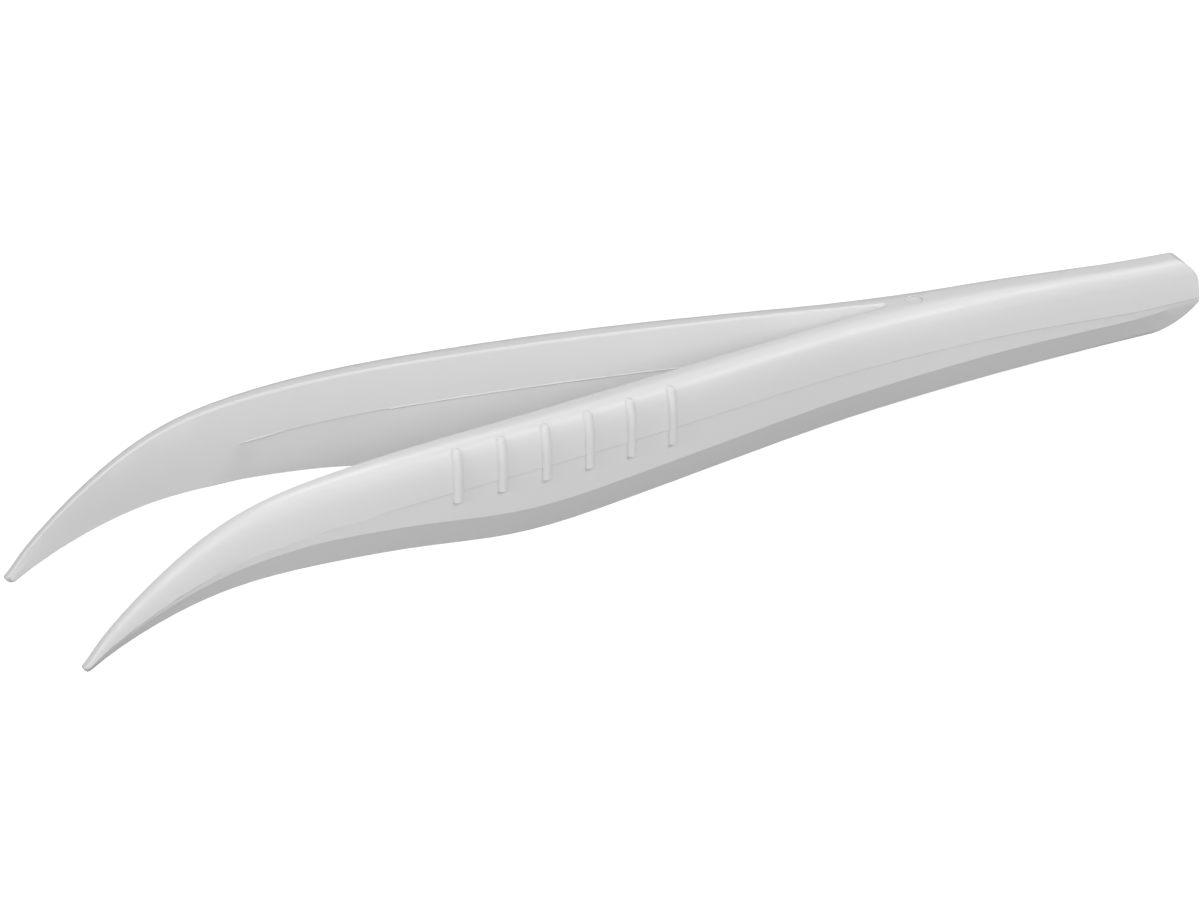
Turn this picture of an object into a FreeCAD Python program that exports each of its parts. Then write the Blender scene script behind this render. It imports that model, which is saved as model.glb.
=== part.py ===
import FreeCAD, Part
import math
import os
from FreeCAD import Vector

# Disposable forceps, moulded in one piece of plastic: two springy arms with claw-curved tips,
# joined by a solid handle. Millimetres. The forceps are drawn with the tips at x = 0, the butt
# end at +x, the arms opening along y and the mould opening along z, then laid on the table.

# Places along the forceps, measured from the tips
hook_x = 8.0
bend_x = 16.0
neck_x = 26.0
waist_x = 36.0
belly_x = 47.0
grip_x = 60.0
palm_x = 70.0
root_x = 87.0
slot_end_x = 94.5
handle_x = 99.0
length = 130.0

# Top line in the side view, as drops below the top of the grip
tip_drop = 16.8
hook_drop = 9.3
bend_drop = 4.35
neck_drop = 1.75
belly_drop = 0.4
butt_drop = 0.5

# Depth of the profile in the side view
tip_depth = 1.25
hook_depth = 4.6
bend_depth = 7.2
neck_depth = 9.1
waist_depth = 10.5
belly_depth = 12.05
grip_depth = 11.9
slot_end_depth = 10.4
butt_depth = 8.4

# Opening between the arms
tip_gap = 20.8
bend_gap = 20.4
neck_gap = 19.7
belly_gap = 16.0
palm_gap = 9.2
root_gap = 3.4
slot_gap = 0.8

# Thickness of an arm, and width of the handle
tip_thickness = 0.95
bend_thickness = 2.05
neck_thickness = 2.75
belly_thickness = 3.35
palm_thickness = 3.25
root_thickness = 2.9
handle_width = 6.3
butt_width = 3.8

# Crowned shoulder, from the flat top down to the parting line. It leaves at least a strip of
# the top of the handle flat, and its curve is cut into strips that follow it more closely.
tip_shoulder = 0.5
grip_shoulder = 2.5
handle_flat = 1.2
shoulder_inset_ratio = 0.26
shoulder_drop_ratio = 0.11
shoulder_strips = 6
parting_drop = 4.8
tip_parting_drop = 0.6

# Draft either side of the parting line, and the fine step where the two halves of the mould meet
parting_step = 0.04
outer_draft = 0.12
upper_inner_draft = 0.12
lower_inner_draft = 0.22
pad_length = 25.8

# Bevel along the lower outer edge
bevel_height = 3.1
tip_bevel_height = 0.4
bevel_inset = 1.25
tip_bevel_inset = 0.22
butt_bevel_inset = 1.0
bevel_taper = 1.2

# Grip ribs, and the shares of the shoulder's curve at which they start to bend and end
rib_count = 6
rib_pitch = 5.1
rib_first_x = 39.8
rib_width = 1.1
rib_height = 0.35
rib_foot_drop = 6.55
rib_bend_share = 0.85
rib_end_share = 0.5

# Round ends in the side view, round tips in plan, and the lip along the opening
butt_setback_top = 3.6
butt_setback_bottom = 5.3
butt_bulge_top = 1.0
butt_bulge_bottom = 0.65
butt_nose_height = 3.0
tip_cap_top_x = 0.1
tip_cap_bottom_x = 0.7
tip_cap_bulge = 0.3
tip_round = 0.42
lip_round = 0.3

# Mark left by an ejector pin behind the slot
ejector_diameter = 2.0
ejector_depth = 0.12
ejector_x = 98.0

# How closely the sections of the lofts follow each other, how far lofts and cutting bodies run
# past the forceps, and how far the corners of the end outline stand clear of the top and bottom
section_pitch = 4.5
overrun = 1.0
end_overrun = 0.05


def guide(*points):
    """Smooth curve through (place along the forceps, value) points, as a function of the place."""
    curve = Part.BSplineCurve()
    through = [Vector(place, value, 0) for place, value in points]
    curve.interpolate(Points=through, Parameters=[place for place, value in points])
    return lambda x: curve.value(x).y


top = guide((0, -tip_drop), (hook_x, -hook_drop), (bend_x, -bend_drop), (neck_x, -neck_drop),
            (belly_x, -belly_drop), (palm_x, 0), (slot_end_x, 0), (length, -butt_drop))

depth = guide((0, tip_depth), (hook_x, hook_depth), (bend_x, bend_depth), (neck_x, neck_depth),
              (waist_x, waist_depth), (belly_x, belly_depth), (grip_x, grip_depth),
              (slot_end_x, slot_end_depth), (length, butt_depth))

half_gap = guide((0, tip_gap / 2), (bend_x, bend_gap / 2), (neck_x, neck_gap / 2),
                 (belly_x, belly_gap / 2), (palm_x, palm_gap / 2), (root_x, root_gap / 2),
                 (slot_end_x, slot_gap / 2))

half_width = guide((0, tip_gap / 2 + tip_thickness), (bend_x, bend_gap / 2 + bend_thickness),
                   (neck_x, neck_gap / 2 + neck_thickness), (belly_x, belly_gap / 2 + belly_thickness),
                   (palm_x, palm_gap / 2 + palm_thickness), (root_x, root_gap / 2 + root_thickness),
                   (handle_x, handle_width / 2), (length, butt_width / 2))


def eased(x, from_x, to_x, first, last, power=2.0):
    """Value that leaves first at from_x, flattens out into last at to_x, and is constant beyond them."""
    share = min(max((x - from_x) / (to_x - from_x), 0), 1)
    return last + (first - last) * (1 - share) ** power


def shoulder(x):
    """Width of the crowned shoulder, which leaves a flat strip along the top of the handle."""
    return min(eased(x, 0, belly_x, tip_shoulder, grip_shoulder), half_width(x) - handle_flat / 2)


def bevel_rise(x):
    return eased(x, 0, neck_x, tip_bevel_height, bevel_height, bevel_taper)


def bevel_run(x):
    grown = eased(x, 0, neck_x, tip_bevel_inset, bevel_inset, bevel_taper)
    return eased(x, length, handle_x, butt_bevel_inset, grown)


def bottom(x):
    return top(x) - depth(x)


def parting_level(x):
    return top(x) - eased(x, 0, neck_x, tip_parting_drop, parting_drop)


def inner_draft(x, full):
    """Draft of an inner face, which runs out towards the end of the slot."""
    return eased(x, slot_end_x, root_x, 0, full)


def places(start, end):
    """Evenly spaced places from start to end, about one section pitch apart."""
    spans = math.ceil((end - start) / section_pitch)
    return [start + (end - start) * i / spans for i in range(spans + 1)]


def mirrored(points):
    return [Vector(p.x, -p.y, p.z) for p in reversed(points)]


def bezier(points, strips=1):
    """Edges of the curve with these poles, cut into strips of equal share."""
    curve = Part.BezierCurve()
    curve.setPoles(points)
    return [curve.toShape(i / strips, (i + 1) / strips) for i in range(strips)]


def lines(points):
    return [Part.makeLine(a, b) for a, b in zip(points, points[1:])]


def shoulder_poles(x):
    """Poles of the shoulder's curve, from the flat top down to the parting line."""
    width = half_width(x)
    height = top(x) - parting_level(x)
    return [
        Vector(x, width - shoulder(x), top(x)),
        Vector(x, width - shoulder(x) * shoulder_inset_ratio, top(x)),
        Vector(x, width, top(x) - height * shoulder_drop_ratio),
        Vector(x, width, parting_level(x)),
    ]


def envelope_section(x):
    """Closed section across both arms at x: flat top, crowned shoulders, stepped sides, bevels."""
    width = half_width(x)
    upper = shoulder_poles(x)
    lower = [
        upper[-1],
        Vector(x, width - parting_step, parting_level(x)),
        Vector(x, width - outer_draft, bottom(x) + bevel_rise(x)),
        Vector(x, width - outer_draft - bevel_run(x), bottom(x)),
    ]
    far_side = mirrored(upper)
    edges = bezier(upper, shoulder_strips) + lines(lower + mirrored(lower))
    edges += bezier(far_side, shoulder_strips) + [Part.makeLine(far_side[-1], upper[0])]
    return Part.Wire(edges)


def lip(x, wall):
    """Points of the rounded upper inner edge, from above the top face down to the wall."""
    return [
        Vector(x, wall + 2 * lip_round, top(x) + lip_round),
        Vector(x, wall, top(x)),
        Vector(x, wall, top(x) - lip_round),
    ]


def opening_section(x):
    """Closed section of the space between the arms: drafted down to the parting line, then plain."""
    narrow = half_gap(x) - inner_draft(x, upper_inner_draft)
    edge = lip(x, half_gap(x))
    wall = [edge[-1], Vector(x, narrow, parting_level(x)), Vector(x, narrow, bottom(x) - overrun)]
    far_edge = mirrored(edge)
    sides = bezier(edge) + lines(wall + mirrored(wall)) + bezier(far_edge)
    return Part.Wire(sides + [Part.makeLine(far_edge[-1], edge[0])])


def relief_section(x):
    """Closed section of the draft taken off the inner faces below the parting line."""
    level = parting_level(x) - parting_step
    slope = inner_draft(x, lower_inner_draft) / (level - bottom(x))
    below = bottom(x) - overrun
    start = half_gap(x) - inner_draft(x, upper_inner_draft) + parting_step
    side = [Vector(x, start, level), Vector(x, start + slope * (level - below), below)]
    return Part.makePolygon(side + mirrored(side) + side[:1])


def loft(section, start, end):
    return Part.makeLoft([section(x) for x in places(start, end)], True, False)


def bulged(start, end, bulge):
    """Arc from start to end in the side view that stands out from its chord to the right hand side."""
    chord = end - start
    out = Vector(-chord.z, 0, chord.x).normalize()
    return Part.Arc(start, (start + end) * 0.5 + out * bulge, end).toShape()


def side_profile():
    """Closed outline in the side view that trims the tips and the butt end to their round shapes."""
    reach = 2 * (tip_drop + tip_depth)
    nose = Vector(length, 0, bottom(length) + butt_nose_height)
    butt_top_x = length - butt_setback_top
    butt_top = Vector(butt_top_x, 0, top(butt_top_x) + end_overrun)
    butt_bottom_x = length - butt_setback_bottom
    butt_bottom = Vector(butt_bottom_x, 0, bottom(butt_bottom_x) - end_overrun)
    tip_top = Vector(tip_cap_top_x, 0, top(tip_cap_top_x) + end_overrun)
    tip_bottom = Vector(tip_cap_bottom_x, 0, bottom(tip_cap_bottom_x) - end_overrun)
    lean_top = Vector(-butt_setback_top, 0, reach)
    lean_bottom = Vector(-butt_setback_bottom, 0, -reach)
    far_top = butt_top + lean_top
    far_bottom = butt_bottom + lean_bottom
    tip_lean = (tip_top - tip_bottom).normalize() * reach
    edges = [
        Part.makeLine(far_top, butt_top),
        bulged(butt_top, nose, butt_bulge_top),
        bulged(nose, butt_bottom, butt_bulge_bottom),
        Part.makeLine(butt_bottom, far_bottom),
        Part.makeLine(far_bottom, tip_bottom - tip_lean),
        Part.makeLine(tip_bottom - tip_lean, tip_bottom),
        bulged(tip_bottom, tip_top, tip_cap_bulge),
        Part.makeLine(tip_top, tip_top + tip_lean),
        Part.makeLine(tip_top + tip_lean, far_top),
    ]
    return Part.Wire(edges)


def prism(wire):
    """Solid that carries an outline in the side view through both arms."""
    half_depth = max(half_width(x) for x in places(0, length)) + overrun
    face = Part.Face(wire)
    face.translate(Vector(0, -half_depth, 0))
    return face.extrude(Vector(0, 2 * half_depth, 0))


def slot_end():
    """Round end of the space between the arms, with the same lip."""
    edge = lip(slot_end_x, slot_gap / 2)
    low = bottom(slot_end_x) - overrun
    foot = [edge[-1], Vector(slot_end_x, slot_gap / 2, low), Vector(slot_end_x, 0, low),
            Vector(slot_end_x, 0, edge[0].z), edge[0]]
    half = Part.Face(Part.Wire(bezier(edge) + lines(foot)))
    return half.revolve(Vector(slot_end_x, 0, 0), Vector(0, 0, 1), 360)


def tip_corners(side):
    """What is cut off a tip to leave it round in plan, square to the slope of the claw's end."""
    end_top = Vector(tip_cap_top_x, 0, top(tip_cap_top_x))
    end_bottom = Vector(tip_cap_bottom_x, 0, bottom(tip_cap_bottom_x))
    lean = (end_top - end_bottom).normalize()
    inward = Vector(lean.z, 0, -lean.x)
    middle = (end_top + end_bottom) * 0.5 - inward * tip_cap_bulge
    centre = half_gap(0) + tip_thickness / 2

    def at(along, across):
        return middle + inward * along + Vector(0, side * (centre + across), 0) - lean * overrun

    around = [at(tip_round, tip_round), at(tip_round, 2 * overrun), at(-overrun, 2 * overrun),
              at(-overrun, -2 * overrun), at(tip_round, -2 * overrun), at(tip_round, -tip_round)]
    edges = lines(around)
    edges.append(Part.Arc(around[-1], at(0, 0), around[0]).toShape())
    return Part.Face(Part.Wire(edges)).extrude(lean * 2 * overrun)


def ejector_mark():
    floor_level = top(ejector_x) - ejector_depth
    return Part.makeCylinder(ejector_diameter / 2, overrun, Vector(ejector_x, 0, floor_level))


def rib(x, side):
    """Round bar sunk into the outer face of one arm: flat foot, bend over the shoulder, round end."""
    radius = (rib_width ** 2 / 4 + rib_height ** 2) / (2 * rib_height)
    curve = Part.BezierCurve()
    curve.setPoles(shoulder_poles(x))
    start = curve.value(rib_bend_share)
    end = curve.value(rib_end_share)
    inset = start.y - end.y
    rise = end.z - start.z
    bend = (inset ** 2 + rise ** 2) / (2 * inset)
    turn = math.atan2(rise, bend - inset)
    middle = Vector(x, side * (start.y - bend), start.z)
    depth_in = bend - (radius - rib_height)
    bend_start = middle + Vector(0, side * depth_in, 0)
    bend_end = middle + Vector(0, side * depth_in * math.cos(turn), depth_in * math.sin(turn))
    disc = Part.Face(Part.Wire(Part.makeCircle(radius, bend_start)))
    shank = disc.extrude(Vector(0, 0, -rib_foot_drop - start.z))
    bow = disc.revolve(middle, Vector(side, 0, 0), math.degrees(turn))
    return [shank, bow, Part.makeSphere(radius, bend_end)]


def laid_down(shape):
    """The shape turned and moved to where it comes to rest on z = 0, on its tips and its heel."""
    tip = Vector(tip_cap_bottom_x, 0, bottom(tip_cap_bottom_x))
    heel_x = length - butt_setback_bottom
    heel = Vector(heel_x, 0, bottom(heel_x))
    lean = math.degrees(math.atan2(heel.z - tip.z, heel.x - tip.x))
    laid = shape.copy()
    laid.rotate(tip, Vector(0, 1, 0), lean)
    bounds = laid.optimalBoundingBox(False)
    laid.translate(Vector(-bounds.Center.x, -bounds.Center.y, -bounds.ZMin))
    return laid


envelope = loft(envelope_section, -overrun, length + overrun)
opening = loft(opening_section, -overrun, slot_end_x)
relief = loft(relief_section, pad_length, root_x)

blank = envelope.common(prism(side_profile()))
arms = blank.cut(opening).cut(relief).cut(slot_end())
arms = arms.cut([tip_corners(1), tip_corners(-1)]).cut(ejector_mark())
bars = [bar for side in (-1, 1) for i in range(rib_count) for bar in rib(rib_first_x + i * rib_pitch, side)]
forceps = laid_down(arms.fuse(bars))

os.makedirs("parts", exist_ok=True)
forceps.exportStep("parts/forceps.step")
bounds = forceps.optimalBoundingBox(False)
print("forceps", forceps.isValid(), len(forceps.Solids), "volume", round(forceps.Volume, 1),
      "size", [round(value, 3) for value in (bounds.XLength, bounds.YLength, bounds.ZLength)],
      "low", [round(value, 3) for value in (bounds.XMin, bounds.YMin, bounds.ZMin)])
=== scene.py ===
import math

import bpy
from mathutils import Matrix, Vector


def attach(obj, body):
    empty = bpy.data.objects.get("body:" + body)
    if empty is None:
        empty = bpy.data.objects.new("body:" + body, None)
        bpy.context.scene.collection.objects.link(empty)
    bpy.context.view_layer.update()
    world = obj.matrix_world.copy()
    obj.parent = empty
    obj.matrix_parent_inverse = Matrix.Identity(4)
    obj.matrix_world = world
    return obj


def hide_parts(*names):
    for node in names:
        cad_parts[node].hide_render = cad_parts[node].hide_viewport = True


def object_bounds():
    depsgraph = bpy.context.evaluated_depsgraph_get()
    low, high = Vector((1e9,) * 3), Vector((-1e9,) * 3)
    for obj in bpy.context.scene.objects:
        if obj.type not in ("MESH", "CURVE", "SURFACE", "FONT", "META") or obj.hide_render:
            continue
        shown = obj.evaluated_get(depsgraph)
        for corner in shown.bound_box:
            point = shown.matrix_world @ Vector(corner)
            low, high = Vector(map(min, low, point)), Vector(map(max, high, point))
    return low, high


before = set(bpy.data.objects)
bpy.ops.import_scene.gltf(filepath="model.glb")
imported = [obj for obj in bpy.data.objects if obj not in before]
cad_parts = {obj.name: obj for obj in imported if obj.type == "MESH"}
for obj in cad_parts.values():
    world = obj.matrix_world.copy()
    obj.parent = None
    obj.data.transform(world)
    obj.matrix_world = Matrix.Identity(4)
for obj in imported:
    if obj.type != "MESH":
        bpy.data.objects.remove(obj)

# Disposable forceps in white moulded plastic, lying on their tips and heel: the tips at -x, the
# butt at +x, the near arm at -y. Metres.

cad_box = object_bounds()
mm = 0.001

# Camera, as the photograph was taken: turned from the side view, looking down
camera_turn = math.radians(22.614)
camera_pitch = math.radians(27.574)
camera_roll = math.radians(-4.004)
camera_distance = 0.895
camera_aim = Vector((-6.21, -6.72, 7.0)) * mm
camera_lens = 263.5
camera_nearest = 0.01
sensor_width = 36.0

# Soft disc lamps, alike in size and distance: power in watts, bearing from the front, height
lamp_size = 0.4
lamp_distance = 1.0
lamp_aim = Vector((0.0, 0.0, 5.0)) * mm
camera_side_power = 3.33
camera_side_bearing = math.radians(-22)
camera_side_height = math.radians(28)
low_left_power = 3.5
low_left_bearing = math.radians(-75)
low_left_height = math.radians(15)
right_power = 3.65
right_bearing = math.radians(50)
right_height = math.radians(35)
low_right_power = 1.32
low_right_bearing = math.radians(30)
low_right_height = math.radians(8)
behind_power = 3.8
behind_bearing = math.radians(160)
behind_height = math.radians(60)

# Faint light from the sky, and the floor that bounces some of the lamps' light
sky_strength = 0.005
floor_size = 6.0
floor_tone = 0.25

# Plastic: slow drifts of its tone and of its sheen
plastic_tone = 0.86
tone_drift = 0.02
drift_scale = 45.0
drift_detail = 2.0
plastic_roughness = 0.42
roughness_drift = 0.05
roughness_scale = 160.0

# Plastic: soft edges, painted shade darkening its colour in the crevices, and fine grain of the mould
edge_softness = 0.055 * mm
crevice_reach = 0.5 * mm
crevice_painted_shade = 0.4
shading_samples = 8
grain_scale = 2600.0
grain_height = 0.002 * mm

# Plastic: a few dark specks
speck_spacing = 9.0 * mm
speck_share = 0.22
speck_radius = 0.1 * mm
speck_tone = 0.42

# Surface of the moulding: what is merged, and the angle at which an edge stays crisp
merge_distance = 0.0005 * mm
crease_angle = math.radians(12)

# Ribs on the grips, and the slope at which the far arm's shoulder meets the outline
first_rib_x = -24.49 * mm
rib_pitch = 5.1 * mm
rib_count = 6
rib_half_width = 0.62 * mm
rib_reach = 2.5 * mm
outline_slope = math.radians(29.5)

# Handle towards the butt: how much lower its sides and top lie, in full above the bevel's level
handle_drop = 0.5 * mm
handle_drop_start = 38.0 * mm
handle_drop_end = 62.0 * mm
handle_bevel_level = 3.3 * mm
handle_cuts = 14

# Butt end: how far its upper corner is carried out, growing from the nose up to the top
butt_start = 56.0 * mm
butt_end = 65.2 * mm
butt_nose_level = 3.0 * mm
butt_top_level = 8.1 * mm
butt_corner_shift = 1.1 * mm
butt_corner_lean = 0.5

# Shifts along the forceps, towards the butt where above 0, of the grips and of the slot's end.
# Each has the places where it starts, is full, begins to fade and ends
grip_shift = 0.65 * mm
grip_shift_spans = (-46.0 * mm, -27.0 * mm, -14.0 * mm, 22.0 * mm)
root_shift = -0.75 * mm
root_shift_spans = (16.0 * mm, 29.0 * mm, 35.0 * mm, 48.0 * mm)

# Noses of the tips: rounding of their edges, and the share by which their upper side comes down
tip_start = -64.0 * mm
tip_crease = math.radians(25)
tip_softness = 0.2 * mm
tip_segments = 3
nose_start = -62.6 * mm
nose_end = -65.2 * mm
nose_drop = 0.3
nose_cuts = 5

# Step between the halves of the mould: faces this narrow that look down this much, above this
# height. It fades out on the claws, and the wall above it looks down no further than wall_facing
ledge_width = 0.06 * mm
ledge_facing = -0.8
ledge_lowest = 2.0 * mm
claw_end = -33.0 * mm
wall_facing = -0.5

# End wall of the flat pads inside the claws, which is faded out too
pad_end = -39.4 * mm
pad_end_reach = 1.0 * mm
pad_end_facing = 0.9
pad_step = 0.3 * mm
inner_limit = 11.5 * mm

# Fine bead along the step inside the arms, its painted highlight tone, and how far at least it lies from the
# outer faces
bead_radius = 0.08 * mm
bead_roundness = 1
bead_painted_highlight_tone = 0.92
outer_wall = 1.0 * mm


def deselect_all():
    bpy.ops.object.select_all(action="DESELECT")


def make_active(piece):
    deselect_all()
    piece.select_set(True)
    bpy.context.view_layer.objects.active = piece


def nodes_and_links(material):
    material.use_nodes = True
    material.node_tree.nodes.clear()
    return material.node_tree.nodes, material.node_tree.links


def grey(tone):
    return (tone, tone, tone, 1.0)


def moulded_plastic():
    """White plastic, a little uneven in tone and sheen, with soft edges, a few dark specks and painted shade
    darkening its colour in the crevices.
    """
    material = bpy.data.materials.new("white_plastic")
    nodes, links = nodes_and_links(material)
    output = nodes.new("ShaderNodeOutputMaterial")
    shader = nodes.new("ShaderNodeBsdfPrincipled")
    place = nodes.new("ShaderNodeTexCoord")

    drift = nodes.new("ShaderNodeTexNoise")
    drift.inputs["Scale"].default_value = drift_scale
    drift.inputs["Detail"].default_value = drift_detail
    tone = nodes.new("ShaderNodeMapRange")
    tone.inputs["To Min"].default_value = plastic_tone - tone_drift
    tone.inputs["To Max"].default_value = plastic_tone + tone_drift
    links.new(place.outputs["Object"], drift.inputs["Vector"])
    links.new(drift.outputs["Fac"], tone.inputs["Value"])

    cells = nodes.new("ShaderNodeTexVoronoi")
    cells.inputs["Scale"].default_value = 1 / speck_spacing
    near = nodes.new("ShaderNodeMath")
    near.operation = "LESS_THAN"
    near.inputs[1].default_value = speck_radius / speck_spacing
    chosen = nodes.new("ShaderNodeSeparateColor")
    few = nodes.new("ShaderNodeMath")
    few.operation = "LESS_THAN"
    few.inputs[1].default_value = speck_share
    speck = nodes.new("ShaderNodeMath")
    speck.operation = "MULTIPLY"
    links.new(place.outputs["Object"], cells.inputs["Vector"])
    links.new(cells.outputs["Distance"], near.inputs[0])
    links.new(cells.outputs["Color"], chosen.inputs["Color"])
    links.new(chosen.outputs["Red"], few.inputs[0])
    links.new(near.outputs["Value"], speck.inputs[0])
    links.new(few.outputs["Value"], speck.inputs[1])

    colour = nodes.new("ShaderNodeMix")
    colour.data_type = "RGBA"
    colour.inputs["B"].default_value = grey(speck_tone)
    links.new(speck.outputs["Value"], colour.inputs["Factor"])
    links.new(tone.outputs["Result"], colour.inputs["A"])

    # Painted shade: ambient occlusion darkens the base colour in crevices, creases and at the ribs' feet
    painted_shade_occlusion = nodes.new("ShaderNodeAmbientOcclusion")
    painted_shade_occlusion.samples = shading_samples
    painted_shade_occlusion.inputs["Distance"].default_value = crevice_reach
    painted_shade_factor = nodes.new("ShaderNodeMapRange")
    painted_shade_factor.inputs["To Min"].default_value = 1 - crevice_painted_shade
    painted_shade_mix = nodes.new("ShaderNodeMix")
    painted_shade_mix.data_type = "RGBA"
    painted_shade_mix.blend_type = "MULTIPLY"
    painted_shade_mix.inputs["Factor"].default_value = 1.0
    links.new(painted_shade_occlusion.outputs["AO"], painted_shade_factor.inputs["Value"])
    links.new(colour.outputs["Result"], painted_shade_mix.inputs["A"])
    links.new(painted_shade_factor.outputs["Result"], painted_shade_mix.inputs["B"])
    links.new(painted_shade_mix.outputs["Result"], shader.inputs["Base Color"])

    sheen = nodes.new("ShaderNodeTexNoise")
    sheen.inputs["Scale"].default_value = roughness_scale
    roughness = nodes.new("ShaderNodeMapRange")
    roughness.inputs["To Min"].default_value = plastic_roughness - roughness_drift
    roughness.inputs["To Max"].default_value = plastic_roughness + roughness_drift
    links.new(place.outputs["Object"], sheen.inputs["Vector"])
    links.new(sheen.outputs["Fac"], roughness.inputs["Value"])
    links.new(roughness.outputs["Result"], shader.inputs["Roughness"])

    soft = nodes.new("ShaderNodeBevel")
    soft.samples = shading_samples
    soft.inputs["Radius"].default_value = edge_softness
    grain = nodes.new("ShaderNodeTexNoise")
    grain.inputs["Scale"].default_value = grain_scale
    bump = nodes.new("ShaderNodeBump")
    bump.inputs["Distance"].default_value = grain_height
    links.new(place.outputs["Object"], grain.inputs["Vector"])
    links.new(grain.outputs["Fac"], bump.inputs["Height"])
    links.new(soft.outputs["Normal"], bump.inputs["Normal"])
    links.new(bump.outputs["Normal"], shader.inputs["Normal"])
    links.new(shader.outputs["BSDF"], output.inputs["Surface"])
    return material


def bead_plastic_painted_highlight():
    """The same plastic with a painted highlight: lighter and plain, on the fine bead that catches the light.
    """
    material = bpy.data.materials.new("bead_plastic_painted_highlight")
    nodes, links = nodes_and_links(material)
    output = nodes.new("ShaderNodeOutputMaterial")
    shader = nodes.new("ShaderNodeBsdfPrincipled")
    shader.inputs["Base Color"].default_value = grey(bead_painted_highlight_tone)
    shader.inputs["Roughness"].default_value = plastic_roughness
    links.new(shader.outputs["BSDF"], output.inputs["Surface"])
    return material


def white_floor():
    """Plain white as the camera sees it, but only a weak bounce of light."""
    material = bpy.data.materials.new("white_floor")
    nodes, links = nodes_and_links(material)
    output = nodes.new("ShaderNodeOutputMaterial")
    lit = nodes.new("ShaderNodeBsdfDiffuse")
    lit.inputs["Color"].default_value = grey(floor_tone)
    seen = nodes.new("ShaderNodeEmission")
    added = nodes.new("ShaderNodeAddShader")
    path = nodes.new("ShaderNodeLightPath")
    links.new(path.outputs["Is Camera Ray"], seen.inputs["Strength"])
    links.new(lit.outputs["BSDF"], added.inputs[0])
    links.new(seen.outputs["Emission"], added.inputs[1])
    links.new(added.outputs["Shader"], output.inputs["Surface"])
    return material


def clamped(value):
    return min(max(value, 0), 1)


def ramp(value, start, end):
    """Smooth step from 0 at start to 1 at end."""
    share = clamped((value - start) / (end - start))
    return share * share * (3 - 2 * share)


def even_steps(start, end, count):
    return [start + i * (end - start) / count for i in range(count)]


def select_faces(piece, wanted):
    """Leaves edit mode with only the wanted faces selected, then goes back to it."""
    bpy.ops.mesh.select_all(action="DESELECT")
    bpy.ops.mesh.select_mode(type="FACE")
    bpy.ops.object.mode_set(mode="OBJECT")
    for face in piece.data.polygons:
        face.select = wanted(face)
    bpy.ops.object.mode_set(mode="EDIT")


def is_step(mesh, face):
    """True for the narrow faces of the step between the halves of the mould."""
    corners = [mesh.vertices[i].co for i in face.vertices]
    longest = max((a - b).length for a, b in zip(corners, corners[1:] + corners[:1]))
    narrow = face.area * 2 / longest < ledge_width
    return face.normal.z < ledge_facing and narrow and face.center.z > ledge_lowest


def is_pad_end(face):
    """True for the faces of the low wall at the end of the flat pads."""
    at_end = abs(face.center.x - pad_end) < pad_end_reach and abs(face.normal.x) > pad_end_facing
    return at_end and abs(face.center.y) < inner_limit


def cut_across(places):
    """Cuts the whole mesh across its length, so that it bends smoothly where it is moved later."""
    for place in places:
        bpy.ops.mesh.select_all(action="SELECT")
        bpy.ops.mesh.bisect(plane_co=(place, 0, 0), plane_no=(1, 0, 0))


def soften_tip_edges(mesh):
    """Rounds the crisp edges at the very ends of the tips."""
    bpy.ops.mesh.select_all(action="DESELECT")
    bpy.ops.mesh.select_mode(type="EDGE")
    bpy.ops.mesh.edges_select_sharp(sharpness=tip_crease)
    bpy.ops.object.mode_set(mode="OBJECT")
    for edge in mesh.edges:
        edge.select = edge.select and all(mesh.vertices[i].co.x < tip_start for i in edge.vertices)
    bpy.ops.object.mode_set(mode="EDIT")
    bpy.ops.mesh.bevel(offset=tip_softness, segments=tip_segments, clamp_overlap=True)


def outline_height(point):
    return point.y * math.sin(outline_slope) + point.z * math.cos(outline_slope)


def ease_rib_tops(mesh):
    """Keeps the far arm's rib tops below the line of its shoulder, as in the photograph."""
    shell = [vertex for vertex in mesh.vertices if vertex.co.y > 0]
    for i in range(rib_count):
        middle = first_rib_x + i * rib_pitch
        before = [v.co for v in shell if -rib_reach < v.co.x - middle < -rib_half_width]
        after = [v.co for v in shell if rib_half_width < v.co.x - middle < rib_reach]
        left = max(before, key=outline_height).copy()
        right = max(after, key=outline_height).copy()
        low = outline_height(left)
        slope = (outline_height(right) - low) / (right.x - left.x)
        for vertex in shell:
            if abs(vertex.co.x - middle) < rib_half_width:
                excess = outline_height(vertex.co) - low - slope * (vertex.co.x - left.x)
                if excess > 0:
                    vertex.co.y -= excess * math.sin(outline_slope)
                    vertex.co.z -= excess * math.cos(outline_slope)


def settle_handle(mesh):
    """Lowers the handle's sides and top a little towards the butt, and carries its upper corner out."""
    for vertex in mesh.vertices:
        place = vertex.co
        up = clamped((place.z - butt_nose_level) / (butt_top_level - butt_nose_level))
        kept = ramp(place.x, butt_start, butt_end) * (1 - up)
        share = clamped(place.z / handle_bevel_level) * (1 - kept)
        along = (place.x - butt_start) / (butt_end - butt_start)
        if along > 0:
            place.x += butt_corner_shift * min(along * (1 + butt_corner_lean * up), 1) * up
            place.x = min(place.x, cad_box[1][0])
        place.z -= handle_drop * ramp(place.x, handle_drop_start, handle_drop_end) * share


def shift_along(mesh, shift, spans):
    """Moves a stretch of the forceps along their length, growing and fading smoothly at its ends."""
    for vertex in mesh.vertices:
        place = vertex.co.x
        vertex.co.x += shift * ramp(place, spans[0], spans[1]) * (1 - ramp(place, spans[2], spans[3]))


def lower_noses(mesh):
    """Brings the upper side of the tips down towards their ends."""
    for vertex in mesh.vertices:
        along = clamped((nose_start - vertex.co.x) / (nose_start - nose_end))
        vertex.co.z *= 1 - nose_drop * along * along


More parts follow.
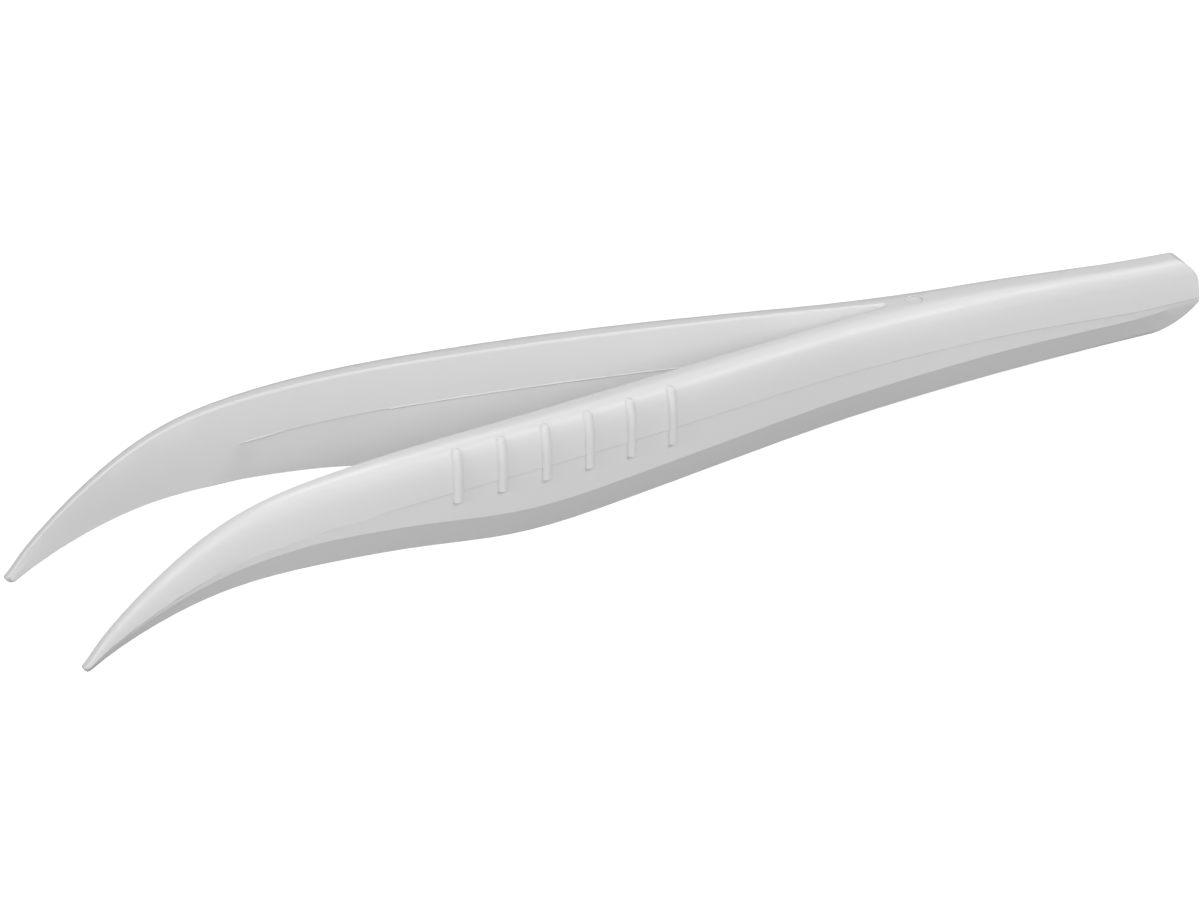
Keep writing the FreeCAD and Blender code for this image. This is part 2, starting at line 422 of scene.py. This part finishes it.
def forceps_moulding():
    """The one moulding: the CAD solid's mesh, merged, eased where the photograph shows it, smooth."""
    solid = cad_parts["forceps"]
    piece = bpy.data.objects.new("forceps_moulding", solid.data.copy())
    bpy.context.scene.collection.objects.link(piece)
    make_active(piece)
    bpy.ops.object.mode_set(mode="EDIT")
    bpy.ops.mesh.select_all(action="SELECT")
    bpy.ops.mesh.remove_doubles(threshold=merge_distance)
    bpy.ops.mesh.customdata_custom_splitnormals_clear()
    cut_across(even_steps(handle_drop_start, butt_end, handle_cuts))
    cut_across(even_steps(nose_start, nose_end, nose_cuts))
    select_faces(piece, lambda face: face.center.x < claw_end and is_step(piece.data, face))
    bpy.ops.mesh.remove_doubles(threshold=ledge_width)
    select_faces(piece, is_pad_end)
    bpy.ops.mesh.remove_doubles(threshold=pad_step)
    soften_tip_edges(piece.data)
    bpy.ops.object.mode_set(mode="OBJECT")
    ease_rib_tops(piece.data)
    settle_handle(piece.data)
    shift_along(piece.data, grip_shift, grip_shift_spans)
    shift_along(piece.data, root_shift, root_shift_spans)
    lower_noses(piece.data)
    bpy.ops.object.shade_smooth_by_angle(angle=crease_angle)
    piece.data.materials.clear()
    piece.data.materials.append(moulded_plastic())
    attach(piece, "root")
    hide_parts("forceps")
    return piece


def inner_step_edges(mesh):
    """Edges inside the arms where the wall above overhangs the step between the mould's halves."""
    owners = {}
    for face in mesh.polygons:
        for key in face.edge_keys:
            owners.setdefault(key, []).append(face)
    widest = {}
    for vertex in mesh.vertices:
        key = round(vertex.co.x / mm)
        widest[key] = max(widest.get(key, 0), abs(vertex.co.y))
    steps = {face.index for face in mesh.polygons if is_step(mesh, face)}
    chosen = []
    for edge in mesh.edges:
        faces = owners[tuple(sorted(edge.vertices))]
        ledges = [face for face in faces if face.index in steps]
        walls = [face for face in faces if face.index not in steps and face.normal.z > wall_facing]
        if len(ledges) == 1 and walls and walls[0].center.z > ledges[0].center.z:
            toward_gap = walls[0].normal.y * walls[0].center.y < 0
            place = mesh.vertices[edge.vertices[0]].co
            if toward_gap and abs(place.y) < widest[round(place.x / mm)] - outer_wall:
                chosen.append(edge)
    return chosen


def parting_bead(moulding):
    """Fine bead along the step between the mould's halves, on the inner sides of both arms."""
    make_active(moulding)
    bpy.ops.object.mode_set(mode="EDIT")
    bpy.ops.mesh.select_all(action="DESELECT")
    bpy.ops.mesh.select_mode(type="EDGE")
    bpy.ops.object.mode_set(mode="OBJECT")
    for edge in inner_step_edges(moulding.data):
        edge.select = True
    bpy.ops.object.mode_set(mode="EDIT")
    bpy.ops.mesh.duplicate()
    bpy.ops.mesh.separate(type="SELECTED")
    bpy.ops.object.mode_set(mode="OBJECT")
    bead = [piece for piece in bpy.context.selected_objects if piece != moulding][0]
    bead.name = "parting_bead"
    make_active(bead)
    bpy.ops.object.convert(target="CURVE")
    bead = bpy.context.active_object
    bead.data.bevel_depth = bead_radius
    bead.data.bevel_resolution = bead_roundness
    bead.data.use_fill_caps = True
    bpy.ops.object.convert(target="MESH")
    bead = bpy.context.active_object
    bpy.ops.object.shade_smooth()
    bead.data.materials.clear()
    # Painted highlight: the bead gets a lighter copy of the plastic
    bead.data.materials.append(bead_plastic_painted_highlight())
    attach(bead, "root")


def floor():
    deselect_all()
    bpy.ops.mesh.primitive_plane_add(size=floor_size, location=(0, 0, 0))
    piece = bpy.context.active_object
    piece.name = "floor"
    piece.data.materials.append(white_floor())


def lamp(name, power, bearing, height):
    """Disc lamp that looks at the forceps from a bearing, counted from the front, and a height."""
    light = bpy.data.lights.new(name, "AREA")
    light.shape = "DISK"
    light.size = lamp_size
    light.energy = power
    holder = bpy.data.objects.new(name, light)
    toward = Vector((
        math.sin(bearing) * math.cos(height),
        -math.cos(bearing) * math.cos(height),
        math.sin(height),
    ))
    holder.location = lamp_aim + toward * lamp_distance
    holder.rotation_euler = (-toward).to_track_quat("-Z", "Y").to_euler()
    bpy.context.scene.collection.objects.link(holder)


def studio():
    world = bpy.data.worlds.new("studio")
    bpy.context.scene.world = world
    world.use_nodes = True
    background = world.node_tree.nodes["Background"]
    background.inputs["Color"].default_value = grey(1.0)
    background.inputs["Strength"].default_value = sky_strength
    lamp("camera_side", camera_side_power, camera_side_bearing, camera_side_height)
    lamp("low_left", low_left_power, low_left_bearing, low_left_height)
    lamp("right", right_power, right_bearing, right_height)
    lamp("low_right", low_right_power, low_right_bearing, low_right_height)
    lamp("behind", behind_power, behind_bearing, behind_height)


def camera():
    """Camera at the photograph's angle, turned a little about its own line of sight."""
    ahead = Vector((
        math.sin(camera_turn) * math.cos(camera_pitch),
        math.cos(camera_turn) * math.cos(camera_pitch),
        -math.sin(camera_pitch),
    ))
    right = Vector((math.cos(camera_turn), -math.sin(camera_turn), 0))
    up = right.cross(ahead)
    turned = Matrix((right, up, -ahead)).transposed()
    seen = bpy.data.cameras.new("camera")
    seen.sensor_width = sensor_width
    seen.lens = camera_lens
    seen.clip_start = camera_nearest
    holder = bpy.data.objects.new("camera", seen)
    roll = Matrix.Rotation(-camera_roll, 3, ahead)
    holder.matrix_world = Matrix.Translation(camera_aim - ahead * camera_distance) @ (roll @ turned).to_4x4()
    bpy.context.scene.collection.objects.link(holder)
    bpy.context.scene.camera = holder


parting_bead(forceps_moulding())
floor()
studio()
camera()
bpy.context.scene.view_settings.view_transform = "Standard"
